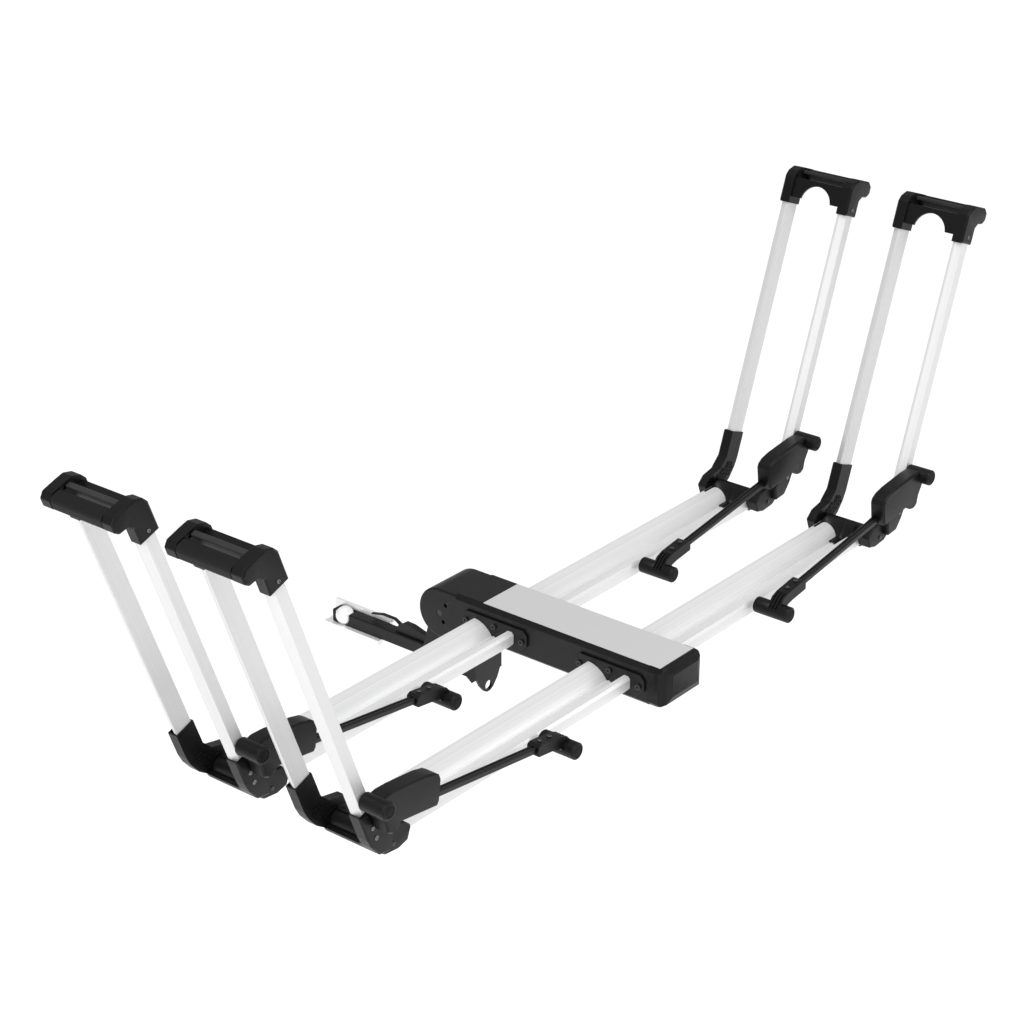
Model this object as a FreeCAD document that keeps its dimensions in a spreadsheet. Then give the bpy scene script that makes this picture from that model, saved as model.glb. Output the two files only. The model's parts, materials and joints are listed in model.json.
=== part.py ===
"""Platform bike rack for a hitch receiver, two bikes, four folding wheel arms.

Frame: +X to the right of the vehicle, +Y towards the vehicle, +Z up, millimetres.
Origin: on the axis of the 31.75 mm (1 1/4 in) shank, in the plane of the receiver's mouth.
"side" is +1 for the right half and -1 for the left; "station" is one wheel tray and its arms.
"""
import FreeCAD, Part
import Sketcher
import math
import os

Vector = FreeCAD.Vector
doc = FreeCAD.newDocument("HitchBikeRack")

# ---------------------------------------------------------------- driving dimensions
DIMENSIONS = {
    "shank_size": 31.75, "shank_wall": 4.0, "shank_front": 156.0, "shank_back": -303.0,
    "sleeve_front": 176.0, "sleeve_back": 4.0, "ball_y": 127.0, "ball_radius": 20.5,
    "tilt_y": -220.0, "tilt_z": 147.0, "tilt_pin_dia": 16.0,
    "beam_half": 68.0, "beam_low": 116.0, "beam_high": 211.0, "beam_wall": 5.0,
    "beam_front": -270.0, "beam_back": -801.0, "cap_back": -851.0,
    "panel_half": 60.5, "panel_front": -344.0, "panel_back": -828.0, "panel_thick": 3.0,
    "row_near": -704.0, "row_far": -386.0,
    "tray_width": 112.0, "tray_low": 140.0, "tray_high": 174.0, "tray_start": 66.0, "tray_end": 842.0,
    "fold_x": 866.0, "fold_z": 163.0, "fold_pin_dia": 10.0, "arm_lean": 20.5,
    "tube_depth": 42.0, "tube_thick": 22.0, "tube_inner": 15.0, "tube_start": 112.0, "tube_top": 752.0,
    "gap_rear": -78.0, "gap_front": 63.0,
    "socket_top": 139.0, "socket_wall": 3.5, "head_low": 714.0,
    "grip_out": 84.0, "grip_up": 787.0, "grip_depth": 34.0, "grip_height": 34.0,
    "swing_out": 22.0, "swing_up": 100.0, "swing_pin_dia": 24.0,
    "rod_slope": 7.65, "rod_axis": 13.5, "rod_width": 18.0, "rod_height": 15.0, "rod_y": -118.0,
    "pad_dia": 37.0, "pad_reach": -543.3, "pad_drop": -6.7, "pad_y": -112.0,
    "housing_y": -124.0, "housing_width": 38.0,
}

sheet = doc.addObject("Spreadsheet::Sheet", "Dimensions")
for row, (alias, number) in enumerate(DIMENSIONS.items(), start=1):
    sheet.set(f"A{row}", alias.replace("_", " "))
    sheet.set(f"B{row}", str(number))
    sheet.setAlias(f"B{row}", alias)
doc.recompute()


class Size:
    """A length that knows both its number and the spreadsheet expression that gives it."""

    def __init__(self, value, text):
        self.value = value
        self.text = text

    def _join(self, other, sign, value, flip=False):
        text = other.text if isinstance(other, Size) else repr(float(other))
        pair = (text, self.text) if flip else (self.text, text)
        return Size(value, f"({pair[0]} {sign} {pair[1]})")

    def __add__(self, other):
        return self._join(other, "+", self.value + number(other))

    def __radd__(self, other):
        return self._join(other, "+", number(other) + self.value, flip=True)

    def __sub__(self, other):
        return self._join(other, "-", self.value - number(other))

    def __rsub__(self, other):
        return self._join(other, "-", number(other) - self.value, flip=True)

    def __mul__(self, other):
        return self._join(other, "*", self.value * number(other))

    def __rmul__(self, other):
        return self._join(other, "*", number(other) * self.value, flip=True)

    def __truediv__(self, other):
        return self._join(other, "/", self.value / number(other))

    def __neg__(self):
        return self * -1


def number(value):
    """The plain number behind a Size, or the number itself."""
    return value.value if isinstance(value, Size) else float(value)


def size(alias):
    """A driving dimension from the sheet."""
    return Size(float(sheet.get(alias)), f"Dimensions.{alias}")


D = {alias: size(alias) for alias in DIMENSIONS}
N = {alias: number(D[alias]) for alias in DIMENSIONS}


# ---------------------------------------------------------------- modelling helpers
parts = []


def place(x=0.0, y=0.0, z=0.0, turn=0.0, axis=(0, 1, 0)):
    """A placement: turned by `turn` degrees about `axis`, then moved."""
    return FreeCAD.Placement(Vector(x, y, z), FreeCAD.Rotation(Vector(*axis), turn))


def new_body(label, placement=FreeCAD.Placement()):
    """An empty PartDesign body that will be exported as one node."""
    body = doc.addObject("PartDesign::Body", label)
    body.Label = label
    body.Placement = placement
    parts.append(body)
    return body


def new_feature(label, shape, placement=FreeCAD.Placement()):
    """A part whose shape is built directly, for castings with curved walls."""
    feature = doc.addObject("Part::Feature", label)
    feature.Label = label
    feature.Shape = shape
    feature.Placement = placement
    parts.append(feature)
    return feature


def drive(sketch, kind, *refs, amount):
    """Add one dimension to a sketch and tie it to the sheet."""
    index = sketch.addConstraint(Sketcher.Constraint(kind, *refs, number(amount)))
    if isinstance(amount, Size):
        sketch.setExpression(f"Constraints[{index}]", amount.text)


def add_loop(sketch, points):
    """Closed outline. A point is (x, y) or (x, y, radius); a radius makes an arc to the next point,
    positive where the arc runs anticlockwise."""
    xy = [Vector(number(p[0]), number(p[1]), 0) for p in points]
    ends = []
    for i, point in enumerate(points):
        a, b = xy[i], xy[(i + 1) % len(xy)]
        if len(point) == 2:
            ends.append((sketch.addGeometry(Part.LineSegment(a, b), False), 1, 2))
            continue
        radius = abs(number(point[2]))
        turn = 1 if number(point[2]) > 0 else -1
        chord = b - a
        side = Vector(chord.y, -chord.x, 0).normalize() * turn
        sagitta = radius - math.sqrt(max(radius ** 2 - (chord.Length / 2) ** 2, 0))
        middle = (a + b) * 0.5 + side * sagitta
        arc = Part.Arc(a, middle, b) if turn > 0 else Part.Arc(b, middle, a)
        index = sketch.addGeometry(arc, False)
        ends.append((index, 1, 2) if turn > 0 else (index, 2, 1))
        drive(sketch, "Radius", index, amount=point[2] if turn > 0 else -1 * point[2])
    for i, (geo, _, tail) in enumerate(ends):
        following, head, _ = ends[(i + 1) % len(ends)]
        sketch.addConstraint(Sketcher.Constraint("Coincident", geo, tail, following, head))
    for (geo, head, _), point in zip(ends, points):
        drive(sketch, "DistanceX", -1, 1, geo, head, amount=point[0])
        drive(sketch, "DistanceY", -1, 1, geo, head, amount=point[1])


def add_circle(sketch, x, y, radius):
    """Circle with its centre and radius tied to the sheet."""
    centre = Vector(number(x), number(y), 0)
    geo = sketch.addGeometry(Part.Circle(centre, Vector(0, 0, 1), number(radius)), False)
    drive(sketch, "Radius", geo, amount=radius)
    drive(sketch, "DistanceX", -1, 1, geo, 3, amount=x)
    drive(sketch, "DistanceY", -1, 1, geo, 3, amount=y)


def new_sketch(body, plane, start=0.0):
    """Sketch on one of the body's own origin planes, `start` along that plane's normal."""
    sketch = body.newObject("Sketcher::SketchObject", body.Name + "_sketch")
    origin_plane = [o for o in body.Origin.OriginFeatures if o.Role == plane][0]
    sketch.AttachmentSupport = [(origin_plane, "")]
    sketch.MapMode = "FlatFace"
    sketch.AttachmentOffset = place(0, 0, number(start))
    if isinstance(start, Size):
        sketch.setExpression("AttachmentOffset.Base.z", start.text)
    return sketch


def extrude(body, kind, sketch, length, both_ways=False):
    """PartDesign Pad or Pocket of a sketch along its normal."""
    feature = body.newObject("PartDesign::" + kind, body.Name + "_" + kind.lower())
    feature.Profile = sketch
    if isinstance(length, Size):
        feature.setExpression("Length", length.text)
    else:
        feature.Length = length
    feature.Midplane = both_ways
    if kind == "Pocket" and not both_ways:
        feature.Reversed = True
    sketch.Visibility = False
    doc.recompute()
    return feature


def pad_loop(body, plane, start, length, *loops, both_ways=False):
    """Pad one or more closed outlines."""
    sketch = new_sketch(body, plane, start)
    for loop in loops:
        add_loop(sketch, loop)
    return extrude(body, "Pad", sketch, length, both_ways)


def cut_loop(body, plane, start, length, *loops, both_ways=False):
    """Cut one or more closed outlines, `length` along the plane's normal."""
    sketch = new_sketch(body, plane, start)
    for loop in loops:
        add_loop(sketch, loop)
    return extrude(body, "Pocket", sketch, length, both_ways)


def cut_holes(body, plane, start, length, holes, both_ways=False):
    """Cut round holes given as (x, y, radius)."""
    sketch = new_sketch(body, plane, start)
    for hole in holes:
        add_circle(sketch, *hole)
    return extrude(body, "Pocket", sketch, length, both_ways)


def pad_circles(body, plane, start, length, circles, both_ways=False):
    """Pad round bosses given as (x, y, radius)."""
    sketch = new_sketch(body, plane, start)
    for circle in circles:
        add_circle(sketch, *circle)
    return extrude(body, "Pad", sketch, length, both_ways)


def round_edges(body, radius, picker, kind="Fillet"):
    """Fillet or chamfer the edges of a body that `picker` accepts."""
    base = body.Tip
    names = [f"Edge{i}" for i, edge in enumerate(base.Shape.Edges, start=1) if picker(edge)]
    feature = body.newObject("PartDesign::" + kind, body.Name + "_" + kind.lower())
    feature.Base = (base, names)
    if kind == "Fillet":
        feature.Radius = radius
    else:
        feature.Size = radius
    doc.recompute()
    return feature


def along(axis):
    """Picker for straight edges parallel to an axis, given as (1, 0, 0) and so on."""
    direction = Vector(*axis)
    return lambda edge: (edge.Curve.TypeId == "Part::GeomLine"
                         and abs(abs(edge.tangentAt(edge.FirstParameter).dot(direction)) - 1) < 1e-6)


def rectangle(x0, y0, x1, y1):
    return [(x0, y0), (x1, y0), (x1, y1), (x0, y1)]


def flip(side, points):
    """Outline drawn for the right-hand side; the left-hand one is its mirror image."""
    if side > 0:
        return points
    return [(-1 * p[0], p[1]) for p in reversed(points)]


def prism(points, y0, y1):
    """Solid between y0 and y1 over a polygon given as (x, z)."""
    corners = [Vector(x, y0, z) for x, z in points]
    face = Part.Face(Part.makePolygon(corners + corners[:1]))
    return face.extrude(Vector(0, y1 - y0, 0))


def slab(points, x0, x1):
    """Solid between x0 and x1 over a polygon given as (y, z)."""
    corners = [Vector(x0, y, z) for y, z in points]
    face = Part.Face(Part.makePolygon(corners + corners[:1]))
    return face.extrude(Vector(x1 - x0, 0, 0))


def cylinder(radius, start, direction, length):
    return Part.makeCylinder(radius, length, Vector(*start), Vector(*direction))


def fused(solids):
    """One clean solid from overlapping solids."""
    shape = solids[0].multiFuse(solids[1:]) if len(solids) > 1 else solids[0]
    return shape.removeSplitter()


def softened(shape, radius, picker):
    """Fillet the edges that `picker` accepts."""
    return shape.makeFillet(radius, [edge for edge in shape.Edges if picker(edge)])


def for_side(shape, side):
    """The right-hand shape, or its mirror image for the left-hand side."""
    return shape if side > 0 else shape.mirror(Vector(0, 0, 0), Vector(1, 0, 0))


# ---------------------------------------------------------------- hitch side (fixed to the vehicle)
def build_shank():
    """Square shank, open at both ends, with windows in its left and upper walls for the wedge."""
    half = D["shank_size"] / 2
    inner = half - D["shank_wall"]
    body = new_body("shank")
    pad_loop(body, "XZ_Plane", -1 * D["shank_front"], D["shank_front"] - D["shank_back"],
             rectangle(-half, -half, half, half), rectangle(-inner, -inner, inner, inner))
    round_edges(body, 3.0, lambda e: along((0, 1, 0))(e) and abs(e.CenterOfMass.x) > number(inner) + 1)
    window = D["ball_radius"] + 2.0
    cut_holes(body, "YZ_Plane", -40.0, 40.0 + number(inner), [(D["ball_y"], 5.0, window)])
    cut_loop(body, "XY_Plane", 0.0, 40.0,
             rectangle(-30.0, D["ball_y"] - window, number(inner), D["ball_y"] + window))


def build_bracket():
    """Welded bracket: two side plates with the tilt bolt's eyes, a rear plate drawn down to a tether eye,
    a front plate round the shank, an arched gusset on the shank and the curved leaf in front of it."""
    eye, outer, inner = 30.0, 46.0, 39.0
    half = D["shank_size"] / 2
    rear, front = -309.0, -172.0
    outline = [
        (D["tilt_y"] - 27, D["tilt_z"] - 13), (rear, 62.0), (rear, -4.0), (-297.0, -14.0), (-281.0, -2.0),
        (-186.0, -2.0), (-156.0, 12.0), (-153.0, 34.0), (D["tilt_y"] + 48, 102.0), (D["tilt_y"] + 28, D["tilt_z"] - 11),
    ]
    body = new_body("pivot_bracket")
    pad_loop(body, "XZ_Plane", -front, 7.0, [
        (-inner - 1, -2.0), (inner + 1, -2.0), (inner + 1, 40.0), (-inner - 1, 40.0)])
    cut_loop(body, "XZ_Plane", -front - 1, 9.0, rectangle(-half, -half, half, half))
    for side in (-1, 1):
        low = inner if side > 0 else -outer
        pad_loop(body, "YZ_Plane", low, outer - inner, outline)
        pad_circles(body, "YZ_Plane", low, outer - inner, [(D["tilt_y"], D["tilt_z"], eye)])
    pad_loop(body, "XZ_Plane", -rear - 6, 6.0, [
        (-outer, 40.0), (-outer, 8.0), (-40.0, -6.0), (-31.0, -25.0), (-16.0, -43.0), (-6.0, -49.0),
        (6.0, -49.0), (16.0, -43.0), (31.0, -25.0), (40.0, -6.0), (outer, 8.0), (outer, 40.0)])
    pad_loop(body, "YZ_Plane", -8.0, 16.0, [
        (front - 1, half), (-36.0, half), (-42.0, 33.0), (-60.0, 45.0), (-85.0, 44.0), (-114.0, 36.0),
        (-150.0, 28.0), (front - 1, 28.0)])
    pad_loop(body, "YZ_Plane", 7.0, 7.0, [
        (-44.0, half), (-34.0, half), (-31.0, 26.0), (-18.0, 34.0), (19.0, 34.0), (53.0, 26.4), (54.0, 29.0),
        (19.0, 38.0), (-19.0, 38.0), (-38.0, 29.0)])
    latch_path = [(radius * math.cos(math.radians(turn)), radius * math.sin(math.radians(turn)))
                  for radius, turns in ((43.0, (172, 191, 210, 229)), (30.3, (229, 210, 191, 172))) for turn in turns]
    cut_loop(body, "YZ_Plane", -outer - 1, 2 * outer + 2,
             [(D["tilt_y"] + y, D["tilt_z"] + z) for y, z in latch_path])
    cut_holes(body, "XZ_Plane", -rear - 8, 10.0, [(0.0, -33.0, 11.5)])
    cut_holes(body, "YZ_Plane", -outer - 1, 2 * outer + 2,
              [(D["tilt_y"], D["tilt_z"], D["tilt_pin_dia"] / 2 + 0.05)])


def build_wedge_channel():
    """Silver sleeve that makes the shank fill a 2 in receiver: thick right wall, thin bottom flange, stop tab."""
    half, reach = D["shank_size"] / 2 + 0.3, 25.4
    body = new_body("wedge_channel")
    pad_loop(body, "XZ_Plane", -1 * D["sleeve_front"], D["sleeve_front"] - D["sleeve_back"], [
        (-reach, -half - 2), (reach, -half - 2), (reach, reach), (half, reach), (half, -half), (-reach, -half)])
    round_edges(body, 2.0, lambda e: along((0, 1, 0))(e) and e.CenterOfMass.x > 25)
    pad_loop(body, "YZ_Plane", -9.0, 3.0, [
        (6.0, -half - 1), (6.0, -half - 6), (14.0, -half - 21), (23.0, -half - 21), (23.0, -half - 1)])
    cut_holes(body, "YZ_Plane", -10.0, 5.0, [(17.0, -half - 10, 3.0)])
    pad_circles(body, "XZ_Plane", -1 * D["sleeve_back"], 8.0, [(21.0, 20.5, 3.5)])


def build_wedge_ball():
    """Eight-sided domed wedge that pushes against the receiver's left and upper walls."""
    across, y, z = N["ball_radius"], N["ball_y"], 5.0
    corner = across / math.cos(math.pi / 8)
    angles = [math.pi * (2 * i + 1) / 8 for i in range(8)]
    profile = [Vector(-30.0, y + corner * math.cos(a), z + corner * math.sin(a)) for a in angles]
    block = Part.Face(Part.makePolygon(profile + profile[:1])).extrude(Vector(41.0, 0, 0))
    dome = Part.makeSphere(across + 1.5, Vector(-5.0, y, z))
    new_feature("wedge_ball", block.common(dome).removeSplitter())


def build_draw_bar():
    """Draw bar inside the shank, with the cone that drives the wedge outwards."""
    start = N["shank_back"] + 14
    neck = N["ball_y"] - 58
    bar = cylinder(5.0, (0, start, 0), (0, 1, 0), neck - start)
    cone = Part.makeCone(5.0, 10.5, 32.0, Vector(0, neck, 0), Vector(0, 1, 0))
    collar = cylinder(10.0, (0, start, 0), (0, 1, 0), 14.0)
    socket = Part.makeCylinder(4.0, 9.0, Vector(0, start - 1, 0), Vector(0, 1, 0))
    new_feature("wedge_draw_bar", fused([bar, cone, collar]).cut(socket))


def build_tilt_bolt():
    """Bolt that the rack tilts about, with a head and a nut outside the pivot head."""
    radius = N["tilt_pin_dia"] / 2
    outer = N["beam_half"] - 3.0
    shaft = cylinder(radius, (-outer, N["tilt_y"], N["tilt_z"]), (1, 0, 0), 2 * outer)
    new_feature("tilt_bolt", shaft)


# ---------------------------------------------------------------- tilting beam
def beam_profile(inset=0.0):
    """Beam section: flat top, sloped shoulders, small bottom chamfers. `inset` moves it inwards."""
    half = D["beam_half"] - inset
    low, high = D["beam_low"] + inset, D["beam_high"] - inset
    step = 8.0 - inset * 0.4
    return [(-half + step, low), (half - step, low), (half, low + step), (half, high - 12),
            (half - step, high), (-half + step, high), (-half, high - 12), (-half, low + step)]


def build_beam():
    body = new_body("beam_tube")
    pad_loop(body, "XZ_Plane", -1 * D["beam_front"], D["beam_front"] - D["beam_back"],
             beam_profile(), beam_profile(number(D["beam_wall"])))
    cut_loop(body, "XY_Plane", D["beam_low"] - 1, D["beam_wall"] + 2,
             rectangle(-52.0, -470.0, 52.0, D["beam_front"] + 1))
    cut_loop(body, "XY_Plane", D["beam_high"] - D["panel_thick"], 20.0,
             rectangle(-1 * D["panel_half"], D["beam_back"] - 1, D["panel_half"], D["panel_front"]))


def build_panel():
    body = new_body("top_panel")
    half = D["panel_half"] - 0.3
    pad_loop(body, "XY_Plane", D["beam_high"] - D["panel_thick"], D["panel_thick"],
             rectangle(-half, D["panel_back"], half, D["panel_front"] - 0.3))


LEVER_HALF = 34.0


def lever_axis():
    """Centre of the release lever's pin, as (y, z)."""
    return N["cap_back"] + 18, N["beam_low"] + 16


def build_end_cap():
    """Chamfered block that closes the rear end of the beam, with the pocket of the release lever below.

    The block is what three prisms share: its plan, its side view and its end view."""
    half, low, high = N["beam_half"] + 1, N["beam_low"] - 1, N["beam_high"] + 1
    back, front = N["cap_back"], N["beam_back"]
    side_view = slab([(front, low), (back + 30, low), (back + 6, low + 14), (back, low + 30),
                      (back, high - 16), (back + 16, high), (front, high)], -90, 90)
    plan = Part.makePolygon([Vector(x, y, low - 20) for x, y in (
        (-half, front), (-half, back + 22), (-half + 9, back + 6), (-half + 24, back), (half - 24, back),
        (half - 9, back + 6), (half, back + 22), (half, front), (-half, front))])
    end_view = prism([(-half + 12, low), (half - 12, low), (half, low + 12), (half, high - 12),
                      (half - 9, high), (-half + 9, high), (-half, high - 12), (-half, low + 12)], back, front)
    block = side_view.common(Part.Face(plan).extrude(Vector(0, 0, 160))).common(end_view)
    block = softened(block.removeSplitter(), 3.0, lambda e: e.CenterOfMass.y < front - 1)
    recess = Part.makeBox(2 * N["panel_half"], front - N["panel_back"] + 1, 10.0,
                          Vector(-N["panel_half"], N["panel_back"] - 0.3, N["beam_high"] - N["panel_thick"]))
    plug = Part.makeBox(2 * half - 18, 18.0, high - low - 26, Vector(-half + 9, front - 1, low + 10))
    hollow = Part.makeBox(2 * half - 26, 60.0, high - low - 48, Vector(-half + 13, back + 14, low + 28))
    lever_y, lever_z = lever_axis()
    pocket = Part.makeBox(2 * LEVER_HALF + 4, 36.0, 25.0, Vector(-LEVER_HALF - 2, lever_y - 7, low - 1))
    pin = cylinder(3.0, (-LEVER_HALF - 4, lever_y, lever_z), (1, 0, 0), 2 * LEVER_HALF + 8)
    shape = fused([block.cut(recess), plug]).cut(hollow).cut(pocket)
    new_feature("end_cap", shape.fuse(pin).removeSplitter())


def build_pivot_head():
    """Round-nosed casting, open below, whose cheeks carry the tilt bolt."""
    radius, half = 60.0, N["beam_half"] - 2.0
    y, z = N["tilt_y"], N["tilt_z"]
    top, low, back = N["beam_high"] - 4.0, N["beam_low"] + 2.0, N["beam_front"]

    def shell(offset, width):
        nose = cylinder(radius - offset, (-width, y, z), (1, 0, 0), 2 * width)
        block = prism([(-width, low if offset == 0 else low - 60), (width, low if offset == 0 else low - 60),
                       (width, top - offset), (-width, top - offset)], back, y)
        return nose.fuse(block)

    outside = shell(0.0, half).removeSplitter()
    outside = softened(outside, 5.0, lambda e: abs(abs(e.CenterOfMass.x) - half) < 0.01
                       and e.CenterOfMass.y > back + 1)
    inside = shell(7.0, half - 14.0)
    open_below = prism([(-half + 14, z - 80), (half - 14, z - 80), (half - 14, z), (-half + 14, z)],
                       back, y + radius + 5)
    bolt = cylinder(N["tilt_pin_dia"] / 2 + 0.05, (-90, y, z), (1, 0, 0), 180)
    screws = [cylinder(5.0, (side * (half - 6), yy, zz), (side, 0, 0), 10)
              for side in (-1, 1) for yy, zz in ((-239.0, 171.0), (-232.0, 128.0))]
    behind = Part.makeBox(200.0, 60.0, 300.0, Vector(-100, back - 60, 0))
    shape = outside.cut(inside).cut(open_below).cut(bolt).cut(behind)
    for start in (-46.6, 38.4):
        shape = shape.cut(Part.makeBox(8.2, 40.0, 49.0, Vector(start, y + 28, z - 1)))
    for screw in screws:
        shape = shape.cut(screw)
    new_feature("pivot_head", shape.removeSplitter())


def build_adapters():
    """Chamfered plates that carry each tray on the beam side, and their socket screws."""
    plates, screws = [], []
    thick, reach = 6.0, 92.0
    low, high = N["tray_low"] - 12, N["tray_high"] + 12
    for row in (N["row_near"], N["row_far"]):
        for side in (-1, 1):
            face = side * N["beam_half"]
            outline = [(row - reach, low + 22), (row - reach + 26, low), (row + reach - 26, low),
                       (row + reach, low + 22), (row + reach, high - 12), (row + reach - 12, high),
                       (row - reach + 12, high), (row - reach, high - 12)]
            plate = slab(outline, face, face + side * thick)
            for dy, dz in ((-78.0, -16.0), (0.0, -3.0), (80.0, -12.0)):
                start = (face + side * (thick + 0.1), row + dy, N["tray_high"] + dz)
                head = cylinder(6.5, start, (side, 0, 0), 4.0)
                socket = cylinder(3.0, (start[0] + side * 1.5, start[1], start[2]), (side, 0, 0), 5.0)
                screws.append(head.cut(socket))
            plates.append(plate)
    new_feature("tray_adapter_plates", Part.makeCompound(plates))
    new_feature("tray_adapter_screws", Part.makeCompound(screws))


def build_release():
    """Pull lever in the end cap's lower pocket, and the latch bar that it draws back."""
    y, z = lever_axis()
    eye = cylinder(5.5, (-LEVER_HALF, y, z), (1, 0, 0), 2 * LEVER_HALF)
    paddle = slab([(y - 4, z + 3), (y + 4, z + 3), (y + 10, z - 8), (y + 26, z - 8), (y + 26, z - 14),
                   (y + 7, z - 14), (y - 4, z - 4)], -LEVER_HALF, LEVER_HALF)
    bore = cylinder(3.05, (-60, y, z), (1, 0, 0), 120.0)
    new_feature("tilt_release_lever", fused([eye, paddle]).cut(bore))
    bar = cylinder(5.0, (-44, N["tilt_y"] - 36.0, N["tilt_z"]), (1, 0, 0), 88.0)
    rod = cylinder(4.0, (0, N["tilt_y"] - 36.0, N["tilt_z"]), (0, -1, 0), 520.0)
    new_feature("tilt_latch", fused([bar, rod]))


# ---------------------------------------------------------------- one station: tray, arm, side arm
def tray_section():
    """Tray cross-section as (y, z): curved flange, ridged valley, hollow six-sided rail."""
    half, low, high = D["tray_width"] / 2, D["tray_low"], D["tray_high"]
    wall = 3.0
    outer = [
        (half, high), (half - wall, high, 62.0), (6.0, low + 5), (0.0, low + 7), (-6.0, low + 4),
        (-30.0, low + 5), (-36.0, high - 8), (-40.0, high), (-half + 5, high), (-half, high - 6),
        (-half, low + 7), (-half + 6, low), (-4.0, low), (0.0, low + 2), (8.0, low + 1.5, -66.0),
    ]
    hollow = [(-half + 3, high - 7.5), (-half + 3, low + 8), (-half + 7.5, low + 3), (-34.0, low + 3),
              (-39.0, high - 9), (-42.0, high - 3), (-half + 6.5, high - 3)]
    return outer, hollow


def build_tray(name, row, side):
    body = new_body(name + "_tray", place(y=number(row)))
    length = D["tray_end"] - D["tray_start"]
    start = D["tray_start"] + 8.2 if side > 0 else -1 * D["tray_end"]
    pad_loop(body, "YZ_Plane", start, length - 8.2, *tray_section())


def build_tray_cap(name, row, side):
    """Dark end piece: hinge drum for the fold pin and a tongue that closes the tray section."""
    half, x, z = N["tray_width"] / 2 - 1.0, N["fold_x"], N["fold_z"]
    tip = N["tray_end"]
    drum = cylinder(19.0, (x, -half, z), (0, 1, 0), 2 * half)
    ramp = prism([(tip + 0.2, N["tray_low"] - 1), (x, N["tray_low"] - 1), (x + 3, z + 18.8), (x - 7, z + 17.8),
                  (tip + 0.2, N["tray_low"] + 12)], -half, half)
    foot = prism([(tip + 0.2, N["tray_low"] - 4), (x - 7, N["tray_low"] - 4), (x - 4, N["tray_low"] + 3),
                  (x, N["tray_low"] + 14), (tip + 0.2, N["tray_low"] + 6)], -half + 4, half - 4)
    wing = prism([(tip + 0.2, N["tray_low"]), (x, N["tray_low"]), (x + 6, N["tray_high"] + 6),
                  (tip + 0.2, N["tray_high"] + 1)], half - 9, half)
    rail_cap = prism([(tip + 0.2, N["tray_low"] - 1), (x, N["tray_low"] - 1), (x + 4, N["tray_high"] + 1),
                      (tip + 0.2, N["tray_high"] + 1)], -half, -half + 22)
    pin = cylinder(N["fold_pin_dia"] / 2 + 0.05, (x, -80, z), (0, 1, 0), 160)
    shape = fused([drum, ramp, foot, wing, rail_cap]).cut(pin)
    new_feature(name + "_tray_cap", for_side(shape, side), place(y=number(row)))


def arm_place(row, side):
    """Arm frame: origin on the fold pin, +Z along the tubes, X outboard for the right-hand side."""
    return place(side * N["fold_x"], number(row), N["fold_z"], side * N["arm_lean"])


def build_yoke(name, row, side):
    """The two elbows of one arm and the cross web between them, as one casting."""
    wall = N["socket_wall"]
    inner, depth, top = N["tube_inner"], N["tube_depth"], N["socket_top"]
    gap_front, gap_rear, thick = N["gap_front"], N["gap_rear"], N["tube_thick"]

    def casting(outline, near, far):
        solid = prism(outline, near, far)
        corners = [e for e in solid.Edges if along((0, 1, 0))(e) and e.CenterOfMass.z < top - 1]
        solid = solid.makeFillet(7.0, corners)
        outer_y = far if abs(far) > abs(near) else near
        rim = [e for e in solid.Edges if abs(e.CenterOfMass.y - outer_y) < 0.01]
        return solid.makeChamfer(3.5, rim)

    foot = [(-36.0, -27.0), (-8.0, -24.0), (24.0, -8.0), (46.0, 22.0), (52.0, 44.0), (28.0, 62.0),
            (0.0, 48.0), (-42.0, 22.0), (-56.0, -4.0)]
    socket = [(14.0, 6.0), (46.0, 22.0), (57.0, 52.0), (inner + depth + wall, 76.0),
              (inner + depth + wall, top), (inner - wall, top), (inner - wall, 74.0), (-6.0, 40.0)]
    pieces = [casting(foot, gap_front - wall + 1, gap_front + thick),
              casting(socket, gap_front - wall + 1, gap_front + thick + wall),
              casting(foot, gap_rear + 18, gap_rear - 12),
              casting(socket, gap_rear + wall - 1, gap_rear - thick - wall)]
    web_angles = [math.radians(a) for a in (-66, -53, -40, -26, -13, 0)]
    web = prism([(30.0 * math.cos(a), 30.0 * math.sin(a)) for a in web_angles]
                + [(19.7 * math.cos(a), 19.7 * math.sin(a)) for a in web_angles[::-1]],
                gap_rear + 17, gap_front + 1)
    boss_end = N["housing_y"] + 0.5
    boss = cylinder(N["swing_pin_dia"] / 2, (N["swing_out"], gap_rear - 10, N["swing_up"]), (0, -1, 0),
                    gap_rear - 10 - boss_end)
    pin = cylinder(N["fold_pin_dia"] / 2 + 0.05, (0, -140, 0), (0, 1, 0), 280)
    shape = fused(pieces + [web, boss]).cut(pin)
    for near in (gap_front, gap_rear - thick):
        shape = shape.cut(prism(tube_outline(), near, near + thick))
    new_feature(name + "_yoke", for_side(shape, side), arm_place(row, side))


def tube_outline():
    """Side view of an arm tube, for the space it fills in the sockets."""
    inner, depth = N["tube_inner"], N["tube_depth"]
    return [(inner, N["tube_start"]), (inner + depth, N["tube_start"]),
            (inner + depth, N["tube_top"]), (inner, N["tube_top"])]


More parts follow.
